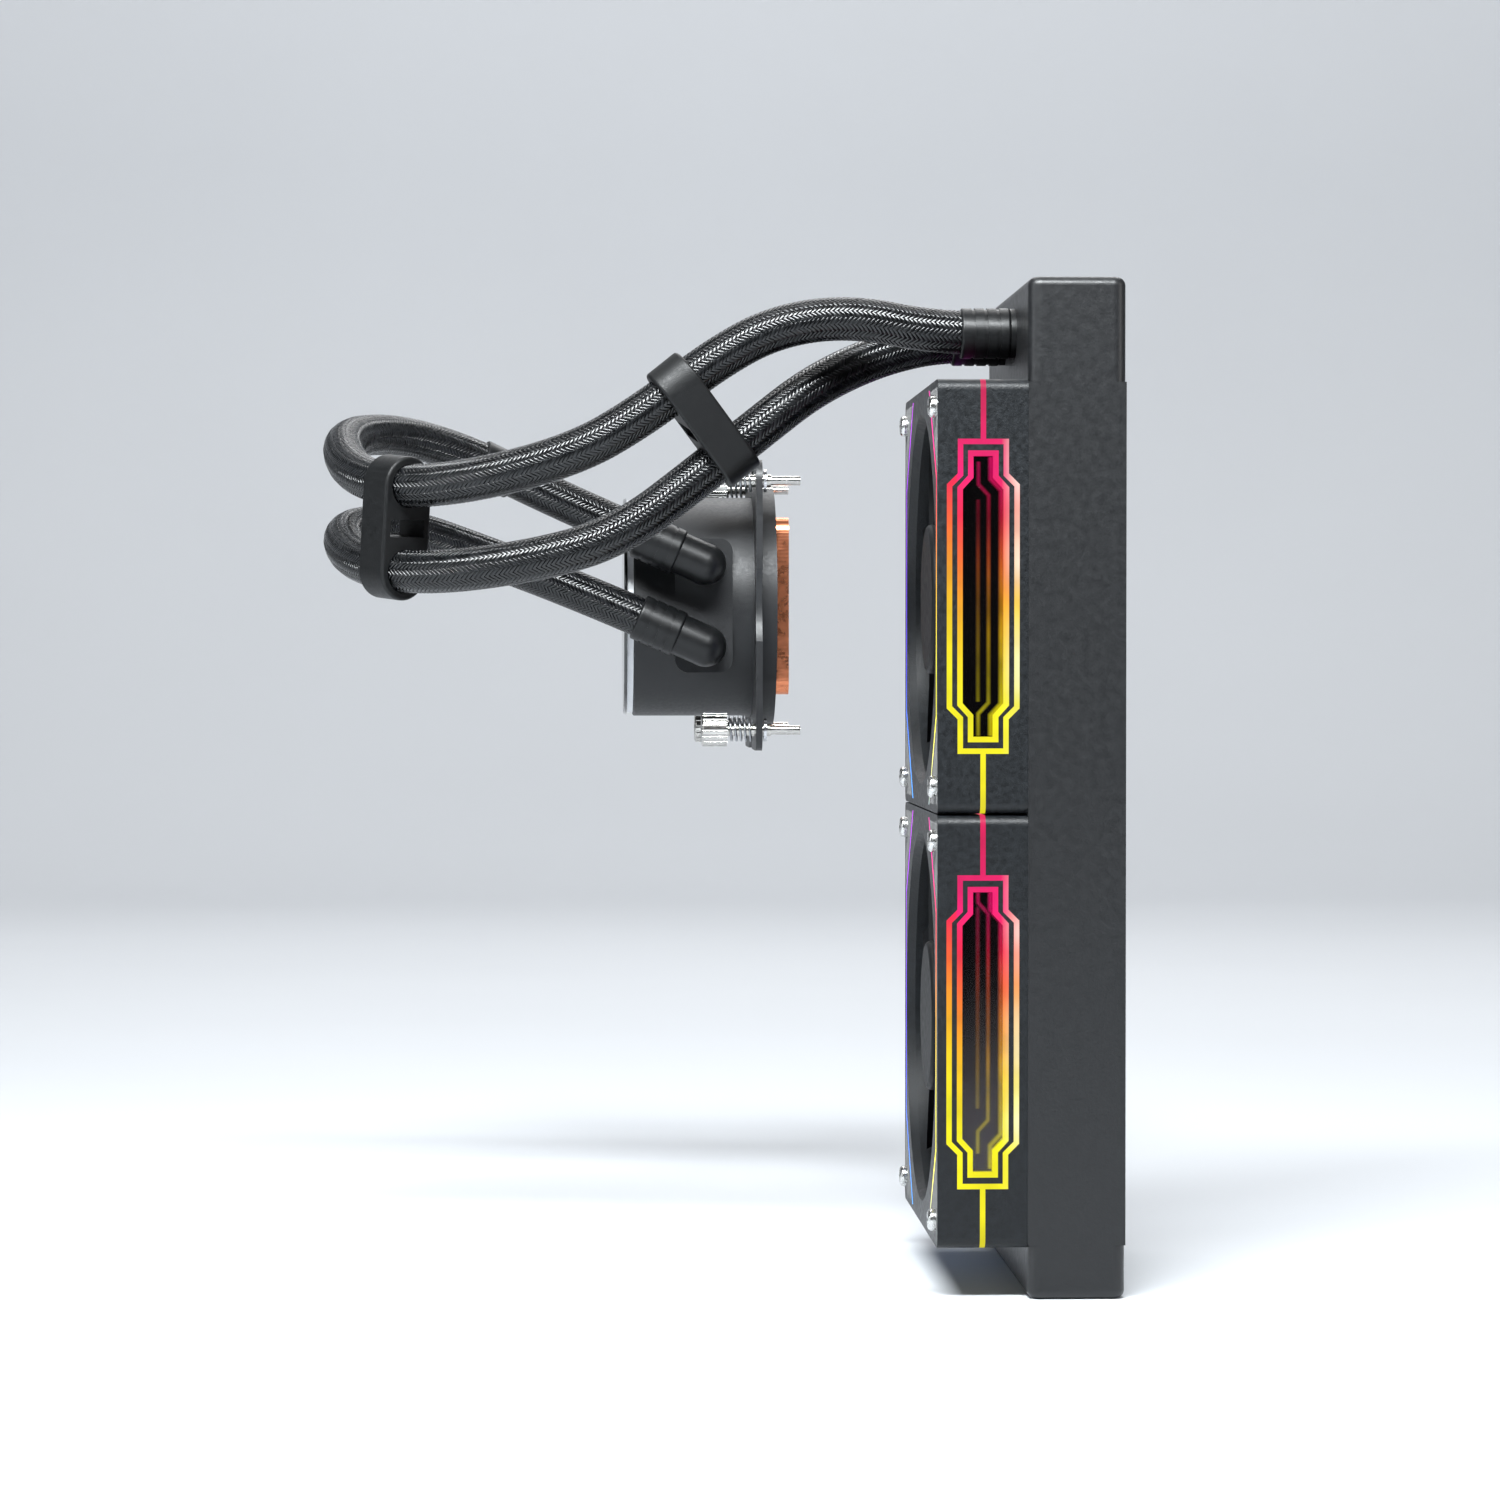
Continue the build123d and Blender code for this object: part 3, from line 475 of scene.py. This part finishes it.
STRANDS = 20               # columns of stitches round the hose
STITCH_PITCH = 1.3 * MM    # from one stitch to the next along a column
STITCH_RADIUS = 6.0 * MM
CORE_RADIUS = 5.7 * MM
CORE_SIDES = 36
CORE_STEP = 2.2 * MM
SLANT = 0.7071             # sine and cosine of a stitch's 45 degrees
UNEVEN = 0.03              # spread of the stitches' sizes


def braided_hose(name, mat):
    """A tube under a two-over-two braid, whose stitches are raised shapes of their own."""
    points = hose_line(name)
    line = points, carried_frames(points)
    length = line[1][0][-1]
    column = math.tau * STITCH_RADIUS / STRANDS
    count = round(length / STITCH_PITCH)
    pitch = length / count
    rings = round(length / CORE_STEP)

    ring_at, ring_turn = np.meshgrid(
        np.linspace(0, length, rings + 1),
        np.arange(CORE_SIDES) * math.tau / CORE_SIDES,
        indexing="ij",
    )
    flat = np.full(ring_at.size, CORE_RADIUS)
    core = on_hose(line, ring_at.ravel(), ring_turn.ravel(), flat)
    core_faces = []
    for i in range(rings):
        for j in range(CORE_SIDES):
            k = (j + 1) % CORE_SIDES
            low, high = i * CORE_SIDES, (i + 1) * CORE_SIDES
            core_faces.append((low + j, high + j, high + k, low + k))
    core_faces.append(range(CORE_SIDES))
    core_faces.append(range(rings * CORE_SIDES, (rings + 1) * CORE_SIDES)[::-1])

    # One stitch, as steps along it and across it, with the height of each point.
    lengthwise = np.array([-1.0, -0.64, 0.64, 1.0])
    crosswise = np.array([-1.0, -0.85, -0.55, 0.55, 0.85, 1.0])
    u, v = [g.ravel() for g in np.meshgrid(lengthwise, crosswise, indexing="ij")]
    rise = 0.22 - 0.07 * u**2 - 0.25 * u**8 - 0.035 * v**2 - 0.3 * v**10
    half_long, half_wide = 0.72 * column, 0.34 * pitch
    random = np.random.default_rng(7)
    along, turn, radius, tone, across = [], [], [], [], []
    for c in range(STRANDS):
        lean = 1 if c % 2 == 0 else -1
        for i in range(count):
            middle = (i + 0.5) * pitch
            wobble = random.normal(0, UNEVEN)
            du = u * half_long * (1 + wobble) - v * half_wide * SLANT
            dv = lean * (u * half_long * (1 + wobble) + v * half_wide * SLANT)
            along.append(np.clip(middle + du, 0, length))
            turn.append((c + 0.5) * math.tau / STRANDS + dv / STITCH_RADIUS)
            radius.append(STITCH_RADIUS + rise * MM * (1 + wobble))
            tone.append(np.full(u.size, random.uniform(0, 1)))
            across.append((v + 1) / 2)
    stitches = on_hose(line, np.concatenate(along), np.concatenate(turn), np.concatenate(radius))
    wide = len(crosswise)
    quads = np.array([
        (r * wide + s, (r + 1) * wide + s, (r + 1) * wide + s + 1, r * wide + s + 1)
        for r in range(len(lengthwise) - 1)
        for s in range(wide - 1)
    ])
    starts = len(core) + u.size * np.arange(STRANDS * count)
    leans = np.repeat(np.where(np.arange(STRANDS) % 2 == 0, 1, -1), count)
    faces = []
    for start, lean in zip(starts, leans):
        faces.extend((quads[:, ::lean] + start).tolist())

    vertices = np.concatenate([core, stitches])
    obj = mesh_object(f"{name}_hose_braid", vertices, core_faces + faces, mat)
    tones = np.concatenate([np.zeros(len(core)), np.concatenate(tone)])
    layer = obj.data.attributes.new("tone", "FLOAT", "POINT")
    layer.data.foreach_set("value", tones.astype(np.float32))
    write_across(obj.data, np.concatenate([np.zeros(len(core)), np.concatenate(across)]), tones)
    return obj, points


# ---------------------------------------------------------------- painted reflections in the fans' side mirrors

# The inner light's centreline, from the fan's centre, in millimetres.
NECK, BODY, NECK_END, BODY_END, BAR = 3.47, 6.4, 32.9, 29.7, 39.35
WINDOW_NECK, WINDOW_BODY = 2.72, 5.65      # half widths of the space inside the inner light
WINDOW_EDGE = 1.0                          # an image ends this far inside the bars
EYE = Vector((-0.153, -1.288, 0.0425))
LIGHT_WIDTH = 1.5
# Painted reflections, glowing copies of the inner light set just off each mirror: the depth in mm
# and the light of each.
IMAGES = {"first": (12, 1.1), "second": (50, 0.62), "third": (83, 0.3)}   # depth in mm, light
NEAREST_DEPTH = 20                         # an image nearer than this is wider
NECK_DEPTH = 60                            # a deeper image shows no neck
PROUD = 0.12                               # space off the mirror that an image lies in, in mm


def image_line(centre, depth):
    """Where the radiator's side of the inner light seems to lie, that deep behind the mirror."""
    distance = (centre.y - 0.06 - EYE.y) / MM
    shrink = distance / (distance + depth)
    half = [(BODY, BODY_END), (BODY, 0)]
    if depth < NECK_DEPTH:
        half = [(NECK, BAR), (NECK, NECK_END)] + half
    whole = half + [(x, -z) for x, z in reversed(half[:-1])]
    eye_x, eye_z = (EYE.x - centre.x) / MM, (EYE.z - centre.z) / MM
    line = []
    for x, z in whole:
        limit = WINDOW_NECK if abs(z) > NECK_END - 1 else WINDOW_BODY
        at = Vector((eye_x + (x - eye_x) * shrink, eye_z + (z - eye_z) * shrink))
        at.x = max(-limit, min(limit, at.x))
        at.y = max(-BAR + WINDOW_EDGE, min(BAR - WINDOW_EDGE, at.y))
        line.append(at)
    return line


def image_strip(line, width):
    """Both edges of a strip of a width along a line, mitred at its corners."""
    left, right = [], []
    for i, at in enumerate(line):
        before = (at - line[i - 1]).normalized() if i else (line[1] - at).normalized()
        after = (line[i + 1] - at).normalized() if i + 1 < len(line) else before
        along = (before + after).normalized()
        side = Vector((-along.y, along.x)) * (width / 2 / max(0.5, along.dot(before)))
        left.append(at + side)
        right.append(at - side)
    return left, right


def painted_mirror_reflections(name):
    """Painted reflections: glowing strips just off both side mirrors of one fan, in place of the
    images in them.
    """
    centre = FAN_CENTRE[name]
    low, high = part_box("fan_side_mirrors")
    for order, (depth, strength) in IMAGES.items():
        vertices, faces, across = [], [], []
        width = LIGHT_WIDTH * (1.3 if depth < NEAREST_DEPTH else 1.0)
        left, right = image_strip(image_line(centre, depth), width)
        for side in (-1, 1):
            mirror = (low.y if side < 0 else high.y) / MM
            surface = mirror + side * PROUD * 0.5
            for out in (-0.5, 0.5):
                y = surface + side * out * PROUD * 0.8
                for edge, share in ((left, 0.0), (right, 1.0)):
                    vertices += [(centre.x + p.x * MM, y * MM, centre.z + p.y * MM) for p in edge]
                    across += [share] * len(edge)
        count = len(left)
        for block in (0, 4 * count):
            rows = [block + k * count for k in (0, 1, 3, 2)]      # round the strip's section
            for a, b in zip(rows, rows[1:] + rows[:1]):
                faces += [(a + i, a + i + 1, b + i + 1, b + i) for i in range(count - 1)]
            faces.append(tuple(rows))
            faces.append(tuple(row + count - 1 for row in reversed(rows)))
        mat = painted_reflection_light(f"{name}_{order}_painted_reflection", centre, strength)
        obj = mesh_object(f"{name}_fan_{order}_images", vertices, faces, mat, smooth=False)
        write_across(obj.data, np.array(across), np.zeros(len(across)))
        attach(obj, ROOT)


# ---------------------------------------------------------------- radiator fins

FIN_STRIPS = 12
FIN_STEP = 1.25 * MM       # from one wall of a fold to the next
LOUVRES = 10
LOUVRE_LEAN = 0.28 * MM


def louvred_fins(mat):
    """Folded fins in every gap, each wall pressed into louvres across its depth."""
    low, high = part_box("radiator_fins")
    tube_low, tube_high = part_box("radiator_flat_tubes")
    height = (high.y - low.y - (tube_high.y - tube_low.y) + 1.8 * MM) / 2
    pitch = (high.y - low.y - height) / (FIN_STRIPS - 1)
    walls = int((high.z - low.z) / FIN_STEP)
    depths = np.linspace(low.x, high.x, 2 * LOUVRES + 1)
    lean = np.where(np.arange(len(depths)) % 2 == 0, -0.5, 0.5) * LOUVRE_LEAN
    lean[[0, -1]] = 0
    # Heights across one wall: the fold's crests stay flat, and the louvres fill the middle.
    share = np.array([0.0, 0.12, 0.88, 1.0])
    pressed = np.array([0.0, 1.0, 1.0, 0.0])
    rows = []
    for i in range(walls):
        up = share if i % 2 == 0 else share[::-1]
        for part, press in zip(up, pressed):
            z = low.z + (i + (0.04 + 0.92 * abs(part - up[0]))) * FIN_STEP
            rows.append((part, z, press))
    rows = np.array(rows)
    vertices, faces = [], []
    wide = len(depths)
    for strip in range(FIN_STRIPS):
        base = low.y + strip * pitch
        start = len(vertices)
        for part, z, press in rows:
            vertices += [(x, base + part * height, z + press * s) for x, s in zip(depths, lean)]
        for r in range(len(rows) - 1):
            at = start + r * wide
            faces += [
                (at + c, at + c + 1, at + wide + c + 1, at + wide + c) for c in range(wide - 1)
            ]
    obj = mesh_object("radiator_fin_folds", vertices, faces, mat, smooth=False)
    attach(obj, ROOT)
    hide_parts("radiator_fins")


# ---------------------------------------------------------------- every CAD node's material


def node_materials():
    """One material for each of the record's slots; lit slots differ from fan to fan."""
    pump_axis = (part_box("pump_housing")[0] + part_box("pump_housing")[1]) / 2
    pump_axis.y = (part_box("pump_top_cap")[0].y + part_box("pump_top_cap")[1].y) / 2
    return {
        "radiator_paint": powder_coat("powder_coat", rgb(16, 17, 19)),
        "fin_aluminium": metal("coated_aluminium", rgb(46, 47, 50), (0.38, 0.52), size=0.004),
        "fan_plastic": moulded(
            "fan_plastic", rgb(13, 16, 19), (0.38, 0.52), 0.0005, 0.00008, 0.45, 0.32
        ),
        "rotor_plastic": moulded(
            "rotor_plastic", rgb(12, 13, 15), (0.5, 0.62), 0.0008, 0.00001, shine=0.2
        ),
        "fan_rubber": rubber("fan_rubber", rgb(27, 27, 28), (0.6, 0.75)),
        "dark_mirror": dark_mirror(),
        "smoked_glass": smoked_glass(),
        "led_board": moulded("led_board", rgb(215, 215, 210), (0.4, 0.5)),
        "circuit_board": circuit_board(),
        "copper": wound_wire(),
        "laminated_steel": metal(
            "laminated_steel", rgb(120, 121, 125), (0.4, 0.55), (12, 1, 1), 0.004
        ),
        "magnet": moulded("ferrite", rgb(52, 52, 55), (0.45, 0.6)),
        "bearing_steel": metal("ground_steel", rgb(190, 191, 194), (0.18, 0.3), (0.2, 3, 3)),
        "spring_steel": metal("spring_steel", rgb(165, 167, 170), (0.25, 0.38)),
        "screw_steel": metal("screw_steel", rgb(200, 200, 198), (0.16, 0.34), size=0.0012),
        "thumb_screw": metal("nickel_plate", rgb(178, 176, 172), (0.16, 0.3), size=0.002),
        "seal_rubber": rubber("seal_rubber", rgb(24, 24, 25), (0.4, 0.55)),
        "hose_rubber": rubber("hose_rubber", rgb(24, 24, 26), (0.45, 0.6)),
        "hose_fittings": moulded(
            "fitting_plastic", rgb(13, 14, 15), (0.34, 0.44), 0.0005, 0.000015, shine=0.3
        ),
        "clip_plastic": moulded(
            "clip_plastic", rgb(12, 13, 14), (0.42, 0.54), 0.00035, 0.00004, shine=0.3
        ),
        "pump_plastic": moulded("pump_plastic", rgb(22, 23, 25), (0.42, 0.55), 0.00035, 0.00003),
        "pump_inner_plastic": moulded("filled_plastic", rgb(70, 70, 68), (0.5, 0.62)),
        "pump_cap": glossy("pump_cap", rgb(17, 17, 19), (0.1, 0.16)),
        "light_diffuser": glossy("milky_diffuser", rgb(212, 214, 217), (0.3, 0.42), 0.2),
        "bracket_steel": powder_coat("bracket_coat", rgb(27, 28, 30)),
        "cold_plate_copper": turned("turned_copper", rgb(205, 128, 92), pump_axis, 0.0006),
        "brass_contacts": metal("gold_plate", rgb(222, 184, 98), (0.2, 0.32)),
    }


# Strength, half width and inner lag of each lit slot.
LIGHT_LOOKS = {"side_light": (1.15, 10 * MM, 9 * MM), "face_light": (3.0, 30 * MM, 0.0)}


def dress_nodes():
    """Puts a material on every CAD node but the sleeves, which the braids replace."""
    slots = {part["node"]: part["material_slot"] for part in frame["record"]["subparts"]}
    made = node_materials()
    for name, obj in frame["nodes"].items():
        if slots[name] in ("face_light", "side_light"):
            fan = name.split("_")[0]
            mat = fan_light(f"{fan}_{slots[name]}", FAN_CENTRE[fan], *LIGHT_LOOKS[slots[name]])
        elif slots[name] == "braid":
            continue
        else:
            mat = made[slots[name]]
        obj.data.materials.clear()
        obj.data.materials.append(mat)


def captive_springs():
    """The captive screws' springs, which shorten as the screws are pressed in; here a plain copy
    of the CAD node's mesh at its own length.
    """
    node = frame["nodes"]["pump_screw_springs"]
    wound = [v.co for v in node.data.vertices]
    faces = [tuple(p.vertices) for p in node.data.polygons]
    springs = mesh_object("pump_wound_springs", wound, faces, node.data.materials[0])
    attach(springs, ROOT)
    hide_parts("pump_screw_springs")
    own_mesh(springs)


# ---------------------------------------------------------------- assembly

dress_nodes()
braid = braid_material()
for hose_name in ROUTES:
    hose, line_points = braided_hose(hose_name, braid)
    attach(hose, ROOT)
    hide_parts(f"{hose_name}_hose_sleeve", f"{hose_name}_hose_liner")
# Painted reflections of each fan's inner light in its side mirrors.
for fan_name in FAN_NAMES:
    painted_mirror_reflections(fan_name)
louvred_fins(frame["nodes"]["radiator_fins"].data.materials[0])
captive_springs()

# ---------------------------------------------------------------- floor, light and camera

PALE = rgb(205, 208, 212)


def backdrop():
    """A pale floor that curves up into a plain wall."""
    floor_z = cad_box[0][2]
    radius, half_width, front, back = 0.6, 4.0, -3.0, 2.6
    profile = [(front, floor_z), (back - radius, floor_z)]
    for i in range(1, 13):
        turn = i / 12 * math.pi / 2
        y = back - radius + radius * math.sin(turn)
        profile.append((y, floor_z + radius * (1 - math.cos(turn))))
    profile.append((back, floor_z + 4.0))
    vertices = [(x, y, z) for y, z in profile for x in (-half_width, half_width)]
    faces = [(2 * i, 2 * i + 1, 2 * i + 3, 2 * i + 2) for i in range(len(profile) - 1)]
    mat, tree, shader = new_material("studio_paper", Roughness=0.85, Specular_IOR_Level=0.2)
    tone = ramp(tree, noise(tree, 0.5), [(0.3, PALE), (0.7, shade(PALE, 0.97))])
    tree.links.new(tone, shader.inputs["Base Color"])
    mesh_object("studio_floor", vertices, faces, mat)


def soft_light(name, at, aim, width, height, watts, tint=(1.0, 1.0, 1.0)):
    data = bpy.data.lights.new(name, "AREA")
    data.shape = "RECTANGLE"
    data.size, data.size_y, data.energy, data.color = width, height, watts, tint
    lamp = bpy.data.objects.new(name, data)
    lamp.location = at
    lamp.rotation_euler = (Vector(aim) - Vector(at)).to_track_quat("-Z", "Y").to_euler()
    bpy.context.scene.collection.objects.link(lamp)


def studio():
    middle = (-0.1, 0.0, 0.03)
    soft_light("top_softbox", (-0.2, -0.5, 0.62), middle, 0.6, 0.13, 22, (0.94, 0.98, 1.0))
    soft_light("left_softbox", (-1.3, -0.5, 0.35), middle, 0.25, 0.8, 4, (0.93, 0.97, 1.0))
    soft_light("right_softbox", (1.3, -0.6, 0.45), middle, 0.3, 0.9, 5, (1.0, 0.98, 0.96))
    soft_light("back_softbox", (0.1, 1.3, 1.1), middle, 1.0, 0.25, 6)
    soft_light("wall_light", (0.0, 1.0, 2.2), (0.0, 2.6, 0.3), 2.4, 0.5, 50)
    world = bpy.data.worlds.new("studio_air")
    world.use_nodes = True
    background = world.node_tree.nodes["Background"]
    background.inputs["Color"].default_value = (0.86, 0.9, 0.95, 1)
    background.inputs["Strength"].default_value = 0.1
    bpy.context.scene.world = world
    bpy.context.scene.view_settings.view_transform = "Standard"


def camera():
    """Level with the upper fan and in front of the hoses, looking across the cooler."""
    data = bpy.data.cameras.new("camera")
    data.sensor_width = 36.0
    data.lens = 107.5
    data.clip_start, data.clip_end = 0.05, 50.0
    eye = bpy.data.objects.new("camera", data)
    eye.location = EYE
    yaw, pitch = math.radians(2.3), math.radians(1.15)
    eye.rotation_euler = (math.pi / 2 - pitch, 0.0, -yaw)
    bpy.context.scene.collection.objects.link(eye)
    bpy.context.scene.camera = eye


backdrop()
studio()
camera()
